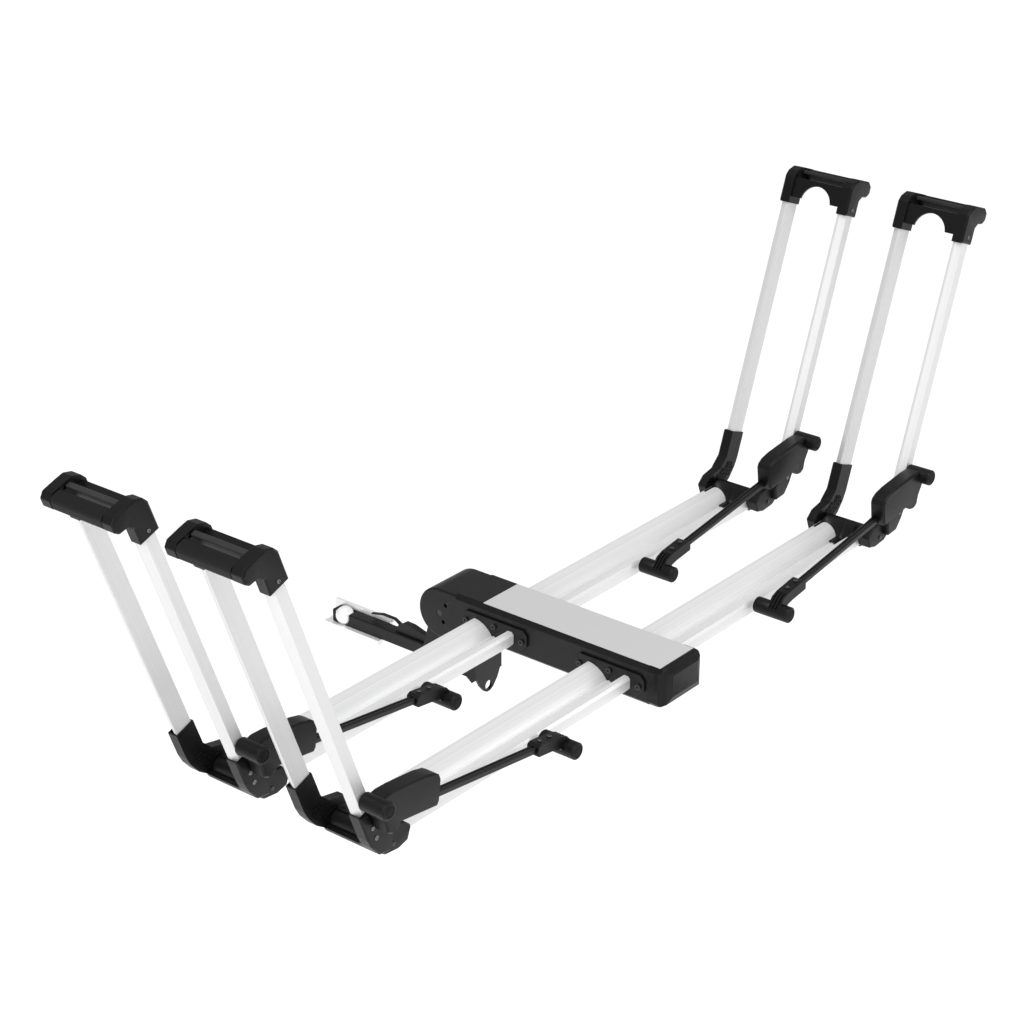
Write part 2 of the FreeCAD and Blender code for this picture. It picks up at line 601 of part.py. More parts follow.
def build_tubes(name, row, side):
    """Six-sided tubes of one arm: wide face towards the wheel gap, narrow face outwards."""
    inner, depth, thick = D["tube_inner"], D["tube_depth"], D["tube_thick"]
    body = new_body(name + "_arm_tubes", arm_place(row, side))
    body.AllowCompound = True

    def section(face, sign, wall):
        points = [(inner + wall, face + sign * wall), (inner + depth - wall, face + sign * wall),
                  (inner + depth - wall, face + sign * 6),
                  (inner + depth - 8 - wall * 0.5, face + sign * (thick - wall)),
                  (inner + 8 + wall * 0.5, face + sign * (thick - wall)), (inner + wall, face + sign * 6)]
        return flip(side, points if sign > 0 else points[::-1])

    walls = [(D["gap_front"], 1), (D["gap_rear"], -1)]
    sketch = new_sketch(body, "XY_Plane", D["tube_start"])
    for face, sign in walls:
        add_loop(sketch, section(face, sign, 0.0))
        add_loop(sketch, section(face, sign, 2.0))
    extrude(body, "Pad", sketch, D["tube_top"] - D["tube_start"])


def build_head(name, row, side):
    """Top handle: two sockets, shoulders that lean outboard, a cradle plate and the grip's core bar."""
    wall = N["socket_wall"]
    inner, depth, low = N["tube_inner"], N["tube_depth"], N["head_low"]
    thick, front, rear = N["tube_thick"], N["gap_front"], N["gap_rear"]
    out, up = N["grip_out"], N["grip_up"]
    leg = [(inner - wall, low), (inner + depth + wall, low), (inner + depth + wall, up - 34),
           (out - 12, up - 22), (out + 8, up - 20), (out + 17, up - 10), (out + 17, up + 8),
           (out + 6, up + 18), (inner + depth, up + 18), (inner + 22, up + 17), (inner + 4, up + 6),
           (inner - wall, up - 8)]

    def shoulder(near, far):
        solid = prism(leg, near, far)
        solid = solid.makeFillet(5.0, [e for e in solid.Edges
                                       if along((0, 1, 0))(e) and e.CenterOfMass.z > low + 1])
        outer_y = far if abs(far) > abs(near) else near
        return solid.makeChamfer(4.0, [e for e in solid.Edges if abs(e.CenterOfMass.y - outer_y) < 0.01])

    legs = [shoulder(front - wall + 0.5, front + thick + wall), shoulder(rear + wall - 0.5, rear - thick - wall)]
    plate_low, plate_top = low + 16, up - 9
    middle, width = (front + rear) / 2, front - rear
    plate = Part.makeBox(7.0, width, plate_top - plate_low, Vector(inner + 2, rear, plate_low))
    arch = cylinder(width * 0.30, (inner - 5, middle, plate_low - 6), (1, 0, 0), 20.0)
    rim = Part.makeBox(16.0, width, 9.0, Vector(inner + 2, rear, plate_top - 9))
    core = cylinder(8.0, (out, rear - 2, up), (0, 1, 0), width + 4)
    shape = fused(legs + [plate.cut(arch), rim, core])
    for near in (front, rear - thick):
        shape = shape.cut(prism(tube_outline(), near, near + thick))
    low_x, low_z, deep, tall = trigger_tongue()
    for y in (rear - 1.0, front - 5.0):
        shape = shape.cut(Part.makeBox(deep + 9, 6.0, tall + 0.8, Vector(low_x - 0.5, y, low_z - 0.4)))
    new_feature(name + "_head", for_side(shape, side), arm_place(row, side))


def build_grip(name, row, side):
    """Soft sleeve on the outboard bar of the head."""
    front, rear = N["gap_front"], N["gap_rear"]
    out, up = N["grip_out"], N["grip_up"]
    deep, tall = N["grip_depth"], N["grip_height"]
    block = Part.makeBox(deep, front - rear - 9, tall, Vector(out - deep / 2, rear + 4.5, up - tall / 2))
    sleeve = block.makeFillet(12.0, [e for e in block.Edges if along((0, 1, 0))(e)])
    new_feature(name + "_grip", for_side(sleeve.cut(cylinder(8.0, (out, rear, up), (0, 1, 0), front - rear)), side),
                arm_place(row, side))


def trigger_tongue():
    """Lower inboard corner, depth and height of the tongues that guide the trigger in the handle."""
    return N["tube_inner"] + 32, N["grip_up"] + 5, 8.0, 5.0


def build_trigger(name, row, side):
    """Release bar inside the handle; it is squeezed outboard towards the grip."""
    front, rear = N["gap_front"], N["gap_rear"]
    x, z = N["tube_inner"] + 30, N["grip_up"] + 3
    bar = Part.makeBox(13.0, front - rear - 8, 9.0, Vector(x, rear + 4, z))
    bar = bar.makeFillet(3.0, [e for e in bar.Edges if along((0, 1, 0))(e)])
    lip = Part.makeBox(5.0, front - rear - 40, 16.0, Vector(x + 8, rear + 20, z - 12))
    lip = lip.makeFillet(2.0, [e for e in lip.Edges if along((0, 1, 0))(e) or along((0, 0, 1))(e)])
    low_x, low_z, deep, tall = trigger_tongue()
    tongue = Part.makeBox(deep, front - rear - 2, tall, Vector(low_x, rear + 1, low_z))
    new_feature(name + "_trigger", for_side(fused([bar, lip, tongue]), side), arm_place(row, side))


def swing_place(row, side):
    """Side arm frame: origin on its pin, X outboard and up along the rod."""
    lean = math.radians(N["arm_lean"])
    out, up = N["swing_out"], N["swing_up"]
    x = N["fold_x"] + out * math.cos(lean) + up * math.sin(lean)
    z = N["fold_z"] - out * math.sin(lean) + up * math.cos(lean)
    return place(side * x, number(row), z, -side * N["rod_slope"])


def build_housing(name, row, side):
    """Housing of the side arm with its cross cylinder, hollow for the rod."""
    half, mid, axis = N["housing_width"] / 2, N["housing_y"], N["rod_axis"]
    outline = [(-131.0, 12.0), (-126.0, 1.0), (-24.0, 1.0), (-14.0, -12.0), (0.0, -17.0), (14.0, -11.0),
               (22.0, 10.0), (40.0, 32.0), (54.0, 44.0), (48.0, 62.0), (22.0, 72.0), (-7.0, 75.0),
               (-82.0, 77.0), (-110.0, 74.0), (-126.0, 66.0), (-131.0, 56.0)]
    body = prism(outline, mid - half, mid + half)
    rims = [e for e in body.Edges if abs(abs(e.CenterOfMass.y - mid) - half) < 0.01]
    body = body.makeChamfer(4.0, rims)
    hammer = cylinder(N["pad_dia"] / 2, (42.7, mid - 41, 51.8), (0, 1, 0), 62.0)
    hammer = hammer.makeFillet(3.0, hammer.Edges)
    rod_space = Part.makeBox(120.0, N["rod_width"] + 0.8, N["rod_height"] + 0.8,
                             Vector(-140, N["rod_y"] - N["rod_width"] / 2 - 0.4, axis - N["rod_height"] / 2 - 0.4))
    bore = cylinder(N["swing_pin_dia"] / 2 + 0.05, (0, mid, 0), (0, 1, 0), half + 1)
    shape = fused([body, hammer]).cut(rod_space).cut(bore)
    new_feature(name + "_side_housing", for_side(shape, side), swing_place(row, side))


def build_rod(name, row, side):
    """Grooved rod that slides in the housing."""
    half_w, half_h = D["rod_width"] / 2, D["rod_height"] / 2
    mid, axis = D["rod_y"], D["rod_axis"]
    groove, corner = 2.2, 3.0
    section = [(mid - half_w + corner, axis - half_h), (mid + half_w - corner, axis - half_h),
               (mid + half_w, axis - half_h + corner), (mid + half_w, axis + half_h - corner),
               (mid + half_w - corner, axis + half_h), (mid + corner, axis + half_h),
               (mid + corner, axis + half_h - groove), (mid - corner, axis + half_h - groove),
               (mid - corner, axis + half_h), (mid - half_w + corner, axis + half_h),
               (mid - half_w, axis + half_h - corner), (mid - half_w, axis - half_h + corner)]
    body = new_body(name + "_side_rod", swing_place(row, side))
    start, length = 506.0, 426.0
    pad_loop(body, "YZ_Plane", -start if side > 0 else start - length, length, section)


def build_pad(name, row, side):
    """Bracket clamped on the rod's end, bent down to its cross pad, with two screws and three slots."""
    mid, axis, reach, drop = N["rod_y"], N["rod_axis"], N["pad_reach"], N["pad_drop"]
    radius = N["pad_dia"] / 2
    pad = cylinder(radius, (reach, N["pad_y"] - 45, drop), (0, 1, 0), 90.0)
    pad = pad.makeFillet(3.0, pad.Edges)
    outline = [(reach + 98, axis - 12), (reach + 100, axis + 8), (reach + 92, axis + 13), (reach + 28, axis + 13),
               (reach + 8, axis + 8), (reach - 8, axis - 6), (reach - 14, drop), (reach + 12, drop - 8),
               (reach + 26, axis - 14), (reach + 44, axis - 12)]
    arm = prism(outline, mid - 15, mid + 15)
    arm = arm.makeFillet(3.0, [e for e in arm.Edges if along((0, 1, 0))(e)])
    slot = [(reach + 26, axis + 20), (reach, axis + 12), (reach - 20, axis - 8), (reach - 6, axis - 10),
            (reach + 10, axis + 3), (reach + 27, axis + 9)]
    rod_space = Part.makeBox(80.0, N["rod_width"], N["rod_height"],
                             Vector(-506, mid - N["rod_width"] / 2, axis - N["rod_height"] / 2))
    screws = [cylinder(4.5, (reach + along_arm, mid, axis + 12), (0, 0, 1), 3.0) for along_arm in (48, 80)]
    shape = fused([pad, arm] + screws).cut(rod_space)
    for offset in (-8.0, 0.0, 8.0):
        shape = shape.cut(prism(slot, mid + offset - 2, mid + offset + 2))
    new_feature(name + "_side_pad", for_side(shape, side), swing_place(row, side))


def build_fold_pins():
    """Pins that the four arms fold about."""
    pins = []
    for row in (N["row_near"], N["row_far"]):
        for side in (-1, 1):
            pins.append(cylinder(N["fold_pin_dia"] / 2, (side * N["fold_x"], row - 92, N["fold_z"]),
                                 (0, 1, 0), 2 * 92.0))
    new_feature("fold_pins", Part.makeCompound(pins))


def build_lock():
    """Lock barrel under the far left tray end, and the ring-shaped key that turns in it."""
    x, y, z = -N["fold_x"] + 14, N["row_far"] + 8, N["tray_low"] - 15
    barrel = cylinder(9.0, (x, y, z), (0, 1, 0), 34.0)
    neck = prism([(x - 6, z), (x + 6, z), (x + 6, N["tray_low"] - 4), (x - 6, N["tray_low"] - 4)], y + 2, y + 32)
    new_feature("lock_barrel", fused([barrel, neck]).cut(cylinder(3.05, (x, y - 1, z), (0, 1, 0), 11.0)))
    bow = cylinder(9.5, (x, y - 11, z), (0, 1, 0), 3.0).cut(cylinder(4.5, (x, y - 12, z - 3), (0, 1, 0), 5.0))
    blade = cylinder(3.0, (x, y - 8.5, z), (0, 1, 0), 18.0)
    new_feature("lock_key", fused([bow, blade]))


build_shank()
build_bracket()
build_wedge_channel()
build_wedge_ball()
build_draw_bar()
build_tilt_bolt()
build_beam()
build_panel()
build_end_cap()
build_pivot_head()
build_adapters()
build_release()
build_fold_pins()
build_lock()

STATION_PARTS = (build_tray, build_tray_cap, build_yoke, build_tubes, build_head, build_grip, build_trigger,
                 build_housing, build_rod, build_pad)
for row_name, row_y in (("near", D["row_near"]), ("far", D["row_far"])):
    for side_name, side_sign in (("left", -1), ("right", 1)):
        for build_part in STATION_PARTS:
            build_part(f"{row_name}_{side_name}", row_y, side_sign)

# ---------------------------------------------------------------- check and export
doc.recompute()
for item in doc.Objects:
    if "Invalid" in item.State or "Error" in item.State:
        raise RuntimeError(f"{item.Label}: {item.State}")
for part in parts:
    if part.Shape.isNull() or not part.Shape.isValid() or not part.Shape.Solids:
        raise RuntimeError(f"{part.Label} has no valid solid")

os.makedirs("parts", exist_ok=True)
for part in parts:
    part.Shape.exportStep(f"parts/{part.Label}.step")
print(f"{len(parts)} parts written")
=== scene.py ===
"""Looks of the platform bike rack: softened castings, extruded aluminium, screws, studio and camera.

Everything is in metres in the row frame: +X right of the vehicle, +Y towards it, +Z up.
"side" is +1 for the right half and -1 for the left; a "station" is one wheel tray with its arms.
"""
import bpy
import bmesh
import json
import math
import numpy as np
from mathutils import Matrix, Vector


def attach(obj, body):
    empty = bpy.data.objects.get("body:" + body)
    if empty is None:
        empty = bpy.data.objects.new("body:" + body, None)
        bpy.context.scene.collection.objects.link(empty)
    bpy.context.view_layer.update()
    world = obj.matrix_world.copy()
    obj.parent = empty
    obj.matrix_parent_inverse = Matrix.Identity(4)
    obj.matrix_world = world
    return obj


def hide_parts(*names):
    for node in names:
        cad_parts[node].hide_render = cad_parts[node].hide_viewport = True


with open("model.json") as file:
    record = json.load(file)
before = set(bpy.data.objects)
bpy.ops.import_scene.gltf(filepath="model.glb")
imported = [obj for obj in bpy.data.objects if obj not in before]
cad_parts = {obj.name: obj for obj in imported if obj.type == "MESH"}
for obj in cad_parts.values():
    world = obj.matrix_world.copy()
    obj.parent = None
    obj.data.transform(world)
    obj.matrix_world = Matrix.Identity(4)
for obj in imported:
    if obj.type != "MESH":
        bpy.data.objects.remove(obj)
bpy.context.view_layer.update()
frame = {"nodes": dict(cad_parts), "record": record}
NODES = frame["nodes"]
BODY_OF = {node: body for body, nodes in frame["record"]["behaviour"]["bodies"].items() for node in nodes}
SLOT_OF = {entry["node"]: entry["material_slot"] for entry in frame["record"]["subparts"]}
JOINTS = frame["record"]["behaviour"]["joints"]
JOINT_PLACE = {joint["name"]: joint["pos_m"] for joint in JOINTS if "pos_m" in joint}

MM = 0.001
SIDES = {"left": -1, "right": 1}
STATIONS = [(f"{row}_{side}", JOINT_PLACE[f"{row}_{side}_arm_fold"][1], sign)
            for row in ("near", "far") for side, sign in SIDES.items()]
FOLD_X, _, FOLD_Z = JOINT_PLACE["near_right_arm_fold"]
LEAN = math.radians(20.5)              # the arms lean outboard by this much
ROD_SLOPE = math.radians(7.65)         # the side arms' rods rise outboard by this much
SWING_OUT, SWING_UP = 0.022, 0.100     # a side arm's pin in its arm's own frame
X, Y, Z = (1, 0, 0), (0, 1, 0), (0, 0, 1)
WHITE = (1.0, 1.0, 1.0)


# ---------------------------------------------------------------- shader maths
class Value:
    """A shader socket that can be used in Python arithmetic; each operation adds a Math node."""

    def __init__(self, maker, socket):
        self.maker = maker
        self.socket = socket

    def _math(self, operation, *inputs):
        return self.maker.node("ShaderNodeMath", {"operation": operation}, dict(enumerate(inputs)))

    def __add__(self, other):
        return self._math("ADD", self, other)

    def __radd__(self, other):
        return self._math("ADD", other, self)

    def __sub__(self, other):
        return self._math("SUBTRACT", self, other)

    def __rsub__(self, other):
        return self._math("SUBTRACT", other, self)

    def __mul__(self, other):
        return self._math("MULTIPLY", self, other)

    def __rmul__(self, other):
        return self._math("MULTIPLY", other, self)

    def __abs__(self):
        return self._math("ABSOLUTE", self)


class Finish:
    """A material being built: one Principled shader and the nodes that feed it."""

    FIRST_COLOUR, SECOND_COLOUR, MIXED_COLOUR = 6, 7, 2     # the Mix node's colour sockets

    def __init__(self, name):
        self.material = bpy.data.materials.new(name)
        self.material.use_nodes = True
        self.tree = self.material.node_tree
        self.shader = self.tree.nodes["Principled BSDF"]

    def node(self, kind, settings=None, inputs=None, output=0):
        """Add a node; settings are set first, then each input gets a number, a colour or a link."""
        made = self.tree.nodes.new(kind)
        for key, value in (settings or {}).items():
            setattr(made, key, value)
        for key, value in (inputs or {}).items():
            self.feed(made.inputs[key], value)
        return Value(self, made.outputs[output])

    def feed(self, socket, value):
        """Link a socket to a value, or set its constant."""
        if isinstance(value, Value):
            self.tree.links.new(value.socket, socket)
        else:
            socket.default_value = value

    def place(self):
        """Object coordinates, which are row coordinates because every piece sits at the origin."""
        return self.node("ShaderNodeTexCoord", output="Object")

    def along(self, direction):
        """Distance along a direction, in metres."""
        return self.node("ShaderNodeVectorMath", {"operation": "DOT_PRODUCT"},
                         {0: self.place(), 1: direction}, output="Value")

    def noise(self, scale, detail, stretch=(1, 1, 1), roughness=0.5):
        """Cloudy noise; a direction's stretch is how much finer it is that way."""
        spread = self.node("ShaderNodeVectorMath", {"operation": "MULTIPLY"}, {0: self.place(), 1: stretch})
        return self.node("ShaderNodeTexNoise", inputs={
            "Vector": spread, "Scale": scale, "Detail": detail, "Roughness": roughness})

    def streaks(self, across, frequency, detail):
        """Lines across a distance, with so many per metre."""
        return self.node("ShaderNodeTexNoise", {"noise_dimensions": "1D"},
                         {"W": across * frequency, "Detail": detail, "Scale": 1.0})

    def ramp(self, value, low, high, start, end):
        """Map start..end to low..high, clamped."""
        return self.node("ShaderNodeMapRange", inputs={"Value": value, "From Min": start, "From Max": end,
                                                       "To Min": low, "To Max": high})

    def mix(self, factor, first, second):
        """Blend two colours."""
        return self.node("ShaderNodeMix", {"data_type": "RGBA"},
                         {"Factor": factor, self.FIRST_COLOUR: first, self.SECOND_COLOUR: second},
                         output=self.MIXED_COLOUR)

    def bump(self, height, distance):
        """Surface normal of a relief, its full height in metres."""
        return self.node("ShaderNodeBump", inputs={"Height": height, "Distance": distance, "Strength": 1.0})

    def finish(self, **sockets):
        """Feed the shader's sockets, named with underscores for spaces, and return the material."""
        for name, value in sockets.items():
            self.feed(self.shader.inputs[name.replace("_", " ")], value)
        return self.material


def grey(level, tint=WHITE):
    """Opaque grey of a linear level, lightly tinted."""
    return (level * tint[0], level * tint[1], level * tint[2], 1.0)


def moulded(name, dark, light, roughness, grain_depth, grain_scale=900.0):
    """Moulded plastic: spark-eroded grain, soft mottling, scuffed patches that are a little rougher."""
    look = Finish(name)
    mottling = look.noise(6.0, 4.0)
    scuffs = look.ramp(look.noise(42.0, 6.0, roughness=0.7), 0.0, 1.0, 0.52, 0.72)
    grain = look.noise(grain_scale, 2.0)
    tone = look.mix(look.ramp(mottling, 0.0, 1.0, 0.3, 0.7), grey(dark), grey(light))
    return look.finish(Base_Color=look.mix(scuffs * 0.18, tone, grey(light * 1.6)),
                       Roughness=roughness + mottling * 0.08 + scuffs * 0.07,
                       Normal=look.bump(grain, grain_depth), Specular_IOR_Level=0.21)


def powder_coat(name, dark, light, roughness):
    """Powder coat: orange-peel waviness and faint patches of dust, which are a little rougher."""
    look = Finish(name)
    peel = look.noise(420.0, 2.0)
    dust = look.ramp(look.noise(9.0, 5.0), 0.0, 1.0, 0.45, 0.75)
    tone = look.mix(dust * 0.5, grey(dark), grey(light))
    return look.finish(Base_Color=tone, Roughness=roughness + dust * 0.08 + peel * 0.06,
                       Normal=look.bump(peel, 0.00008), Coat_Weight=0.05, Coat_Roughness=0.3,
                       Specular_IOR_Level=0.26)


def extruded(name, level, position, stain_stretch, metallic, roughness, contrast):
    """Anodised extrusion: fine die lines and faint broad bands that run along it, and long stains.

    `position` is a function of the finish being built that gives the distance across the profile."""
    look = Finish(name)
    across = position(look)
    lines = look.streaks(across, 1800.0, 2.0)
    bands = look.streaks(across, 170.0, 1.0)
    stains = look.noise(5.0, 4.0, stretch=stain_stretch)
    shade = look.ramp(bands * 0.55 + lines * 0.45, 0.0, 1.0, 0.36, 0.62)
    dull = grey(level * (1.0 - 0.11 * contrast))
    clean = grey(level * (1.0 + 0.04 * contrast), (1.0, 1.0, 1.005))
    tone = look.mix(shade, dull, clean)
    tone = look.mix(look.ramp(stains, 0.0, 0.25, 0.5, 0.8), tone, grey(level * 0.93))
    return look.finish(Base_Color=tone, Metallic=metallic,
                       Roughness=roughness + lines * 0.10 + stains * 0.06, Normal=look.bump(lines, 0.000012))


def painted(name, level, roughness):
    """Flat enamel with a faint orange peel and very slight cloudiness."""
    look = Finish(name)
    peel = look.noise(500.0, 2.0)
    cloud = look.noise(3.0, 3.0)
    tone = look.mix(cloud, grey(level * 0.985), grey(level * 1.015))
    return look.finish(Base_Color=tone, Roughness=roughness + peel * 0.06, Normal=look.bump(peel, 0.00004))


def bright_metal(name, level, roughness, metallic=1.0):
    """Plated or machined metal with fine marks."""
    look = Finish(name)
    marks = look.noise(700.0, 3.0, stretch=(1.0, 0.15, 1.0))
    tone = look.mix(marks, grey(level * 0.85), grey(level * 1.1))
    return look.finish(Base_Color=tone, Metallic=metallic, Roughness=roughness + marks * 0.15,
                       Normal=look.bump(marks, 0.00003))


def across_tray(finish):
    """Distance across a tray's trough."""
    return finish.along(Y) + finish.along(Z) * 0.8


def across_tube(finish):
    """Distance across an arm tube; both halves of the rack lean away from the middle."""
    return finish.along(Y) + abs(finish.along(X)) * math.cos(LEAN) - finish.along(Z) * math.sin(LEAN)


def across_sleeve(finish):
    """Distance across the shank's sleeve."""
    return finish.along(X) + finish.along(Z)


plastic = moulded("moulded black", 0.0024, 0.0038, 0.36, 0.00006)
soft_sleeve = moulded("soft grip sleeve", 0.0036, 0.0052, 0.56, 0.00010, 1400.0)
# A darker copy of the black plastic: painted shade, put on the floors of the honeycomb cells and in the
# cylinders' end recesses.
painted_shade_plastic = moulded("shadowed recess", 0.0012, 0.0020, 0.62, 0.00005)
lever_plastic = moulded("dark grey lever plastic", 0.022, 0.030, 0.36, 0.00005)
coat = powder_coat("black powder coat", 0.0030, 0.0048, 0.36)
rod_coat = powder_coat("black rod coat", 0.0040, 0.0065, 0.28)
tray_metal = extruded("satin tray extrusion", 0.75, across_tray, (0.25, 6.0, 6.0), 0.35, 0.34, 0.75)
tube_metal = extruded("satin tube extrusion", 0.70, across_tube, (1.0, 6.0, 0.25), 0.40, 0.36, 0.25)
panel_paint = painted("light grey panel", 0.48, 0.42)
sleeve_metal = extruded("bright sleeve extrusion", 0.86, across_sleeve, (6.0, 0.3, 6.0), 0.5, 0.30, 1.0)
cast_wedge = bright_metal("machined wedge", 0.92, 0.30, 0.35)
steel = bright_metal("plated steel", 0.62, 0.22)
dark_zinc = bright_metal("dark zinc screw", 0.17, 0.20)
black_screw = bright_metal("black oxide screw", 0.05, 0.26, 0.7)

FINISH_OF_SLOT = {
    "matte_black_plastic": plastic, "black_powder_coat": coat, "satin_aluminium": tray_metal,
    "panel_grey": panel_paint, "steel": steel, "black_screw": black_screw, "grip_rubber": soft_sleeve,
    "trigger_plastic": lever_plastic,
}
FINISH_OF_NODE = {"wedge_channel": sleeve_metal, "wedge_ball": cast_wedge, "fold_pins": black_screw,
                  "tilt_bolt": black_screw}
for station, _, _ in STATIONS:
    FINISH_OF_NODE[station + "_arm_tubes"] = tube_metal
    FINISH_OF_NODE[station + "_side_rod"] = rod_coat


def finish_for(node):
    """A CAD node's own finish, or else its slot's."""
    return FINISH_OF_NODE.get(node, FINISH_OF_SLOT[SLOT_OF[node]])


# ---------------------------------------------------------------- pieces
def declare(piece, body, material):
    """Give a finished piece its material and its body."""
    piece.data.materials.clear()
    piece.data.materials.append(material)
    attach(piece, body)
    return piece


def placed(name, mesh):
    """Object for a mesh, at the origin and in the scene; edges sharper than 35 degrees stay crisp."""
    piece = bpy.data.objects.new(name, mesh)
    bpy.context.scene.collection.objects.link(piece)
    mesh.shade_smooth()
    mesh.set_sharp_from_angle(angle=math.radians(35.0))
    return piece


def softened(node, radius):
    """Copy of a CAD node with its edges rounded: doubles merged, flats rejoined, then a Bevel modifier."""
    mesh = NODES[node].data.copy()
    work = bmesh.new()
    work.from_mesh(mesh)
    bmesh.ops.remove_doubles(work, verts=work.verts, dist=2e-6)
    bmesh.ops.dissolve_limit(work, angle_limit=math.radians(0.6), verts=work.verts, edges=work.edges)
    work.to_mesh(mesh)
    work.free()
    piece = placed(node + "_soft", mesh)
    bevel = piece.modifiers.new("rounded edges", "BEVEL")
    bevel.width = radius
    bevel.segments = 2
    bevel.limit_method = "ANGLE"
    bevel.angle_limit = math.radians(28.0)
    bevel.harden_normals = True
    bevel.use_clamp_overlap = True
    declare(piece, BODY_OF[node], finish_for(node))
    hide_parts(node)


def grid_piece(name, points, body, material, close_v=True):
    """A mesh from an array of points [u, v, xyz]; neighbours in u and v share a four-sided face.

    `close_v` joins the last column to the first."""
    rows, columns = points.shape[:2]
    u = np.arange(rows - 1)
    v = np.arange(columns if close_v else columns - 1)
    a, b = np.meshgrid(u, v, indexing="ij")
    corner = a * columns + b
    right = a * columns + (b + 1) % columns
    below = (a + 1) * columns + b
    diagonal = (a + 1) * columns + (b + 1) % columns
    faces = np.stack([corner, right, diagonal, below], axis=-1).reshape(-1, 4)
    mesh = bpy.data.meshes.new(name)
    mesh.from_pydata(points.reshape(-1, 3).tolist(), [], faces.tolist())
    work = bmesh.new()
    work.from_mesh(mesh)
    bmesh.ops.remove_doubles(work, verts=work.verts, dist=1e-6)
    bmesh.ops.recalc_face_normals(work, faces=work.faces)
    work.to_mesh(mesh)
    work.free()
    return declare(placed(name, mesh), body, material)


def basis(axis):
    """The unit axis and two unit vectors across it, the last as near as possible to upright."""
    axis = np.array(axis, float) / np.linalg.norm(axis)
    across = np.cross(Z, axis)
    across /= np.linalg.norm(across)
    return axis, across, np.cross(axis, across)


def turned(centre, axis, profile, steps, hexagon=()):
    """Surface of revolution: each (radius, height) of the profile goes round the axis.

    Rows listed in `hexagon` follow a hexagon in place of a circle: the radius is divided by the cosine
    of the angle from the nearest flat's middle."""
    axis, across, up = basis(axis)
    turn = np.linspace(0, 2 * math.pi, steps, endpoint=False)
    profile = np.array(profile, float)
    radius = np.repeat(profile[:, :1], steps, axis=1)
    from_flat = (turn % (math.pi / 3)) - math.pi / 6
    for row in hexagon:
        radius[row] = profile[row, 0] / np.cos(from_flat)
    ring = np.cos(turn)[None, :, None] * across + np.sin(turn)[None, :, None] * up
    return np.array(centre) + radius[:, :, None] * ring + profile[:, 1][:, None, None] * axis


def screw_profile(radius, height):
    """Socket screw from the well's middle, up the hexagon well, over the rounded rim and down the side."""
    well = radius * 0.45
    return [(0.0, height * 0.25), (well, height * 0.25), (well, height), (radius * 0.8, height),
            (radius * 0.95, height * 0.88), (radius, height * 0.65), (radius, -0.0008), (0.0, -0.0008)]


def socket_screws(name, places, body, radius, height):
    """Several equal screws as one piece; each place is (centre, axis)."""
    profile = screw_profile(radius, height)
    grids = [turned(centre, axis, profile, 24, hexagon=(1, 2)) for centre, axis in places]
    merge_grids(name, grids, body, dark_zinc)


def merge_grids(name, grids, body, material):
    """Several grids as one piece."""
    made = [grid_piece(f"{name}_{i}", grid, body, material) for i, grid in enumerate(grids)]
    joined = bpy.data.meshes.new(name)
    work = bmesh.new()
    for piece in made:
        work.from_mesh(piece.data)
    work.to_mesh(joined)
    work.free()
    for piece in made:
        bpy.data.objects.remove(piece)
    declare(placed(name, joined), body, material)


def ring_band(centre, axis, outer, inner, height):
    """Raised ring with a rounded top, as a closed profile carried round the axis."""
    middle, half = (outer + inner) / 2, (outer - inner) / 2
    bend = np.linspace(0, math.pi, 7)
    profile = [(middle + half * math.cos(t), height * math.sin(t)) for t in bend]
    profile += [(inner, -0.0005), (outer, -0.0005)]
    return turned(centre, axis, profile, 40)


def arm_point(side, y, across, along):
    """Row-frame point from an arm's own frame: outboard across the tubes, and up along them."""
    return (side * (FOLD_X + across * math.cos(LEAN) + along * math.sin(LEAN)), y,
            FOLD_Z - across * math.sin(LEAN) + along * math.cos(LEAN))


def swing_point(side, y, along, above):
    """Row-frame point from a side arm's own frame: outboard along the rod, and above it."""
    pin_x, _, pin_z = arm_point(1, 0.0, SWING_OUT, SWING_UP)
    return (side * (pin_x + along * math.cos(ROD_SLOPE) - above * math.sin(ROD_SLOPE)), y,
            pin_z + along * math.sin(ROD_SLOPE) + above * math.cos(ROD_SLOPE))


# ---------------------------------------------------------------- CAD nodes: finishes and rounded copies
for node_name, piece in NODES.items():
    piece.data.materials.clear()
    piece.data.materials.append(finish_for(node_name))

EDGE_RADIUS = {
    "beam_tube": 0.0015, "end_cap": 0.002, "pivot_head": 0.0025, "pivot_bracket": 0.0012,
    "wedge_channel": 0.0006, "wedge_ball": 0.0025, "tray_adapter_plates": 0.0012,
    "tilt_release_lever": 0.001, "lock_barrel": 0.001, "top_panel": 0.0006,
}
STATION_EDGE_RADIUS = {
    "yoke": 0.0025, "head": 0.003, "side_housing": 0.0025, "side_pad": 0.0018,
    "tray_cap": 0.0018, "grip": 0.002, "trigger": 0.0012, "side_rod": 0.0008,
}
for node_name, edge in EDGE_RADIUS.items():
    softened(node_name, edge)
for station, _, _ in STATIONS:
    for part_name, edge in STATION_EDGE_RADIUS.items():
        softened(f"{station}_{part_name}", edge)

# ---------------------------------------------------------------- screws, rims and honeycombs
# An arm's two outer faces: place along Y from the row's middle, and the way each one faces.
ARM_FACES = ((0.0885, 1.0), (-0.1035, -1.0))
GAP_FACE = 0.060               # the elbow's face that carries the honeycomb, from the row's middle
SCREW_ACROSS, SCREW_ALONG = 0.040, (0.066, 0.093)               # elbow screws in the arm's frame
HEAD_SCREW_ACROSS, HEAD_SCREW_ALONG = 0.036, 0.730
PAD_ALONG = -0.5433            # the side pad's middle along the rod
PAD_SCREW_Y, PAD_SCREW_STEPS, PAD_TOP = -0.118, (0.048, 0.080), 0.0285

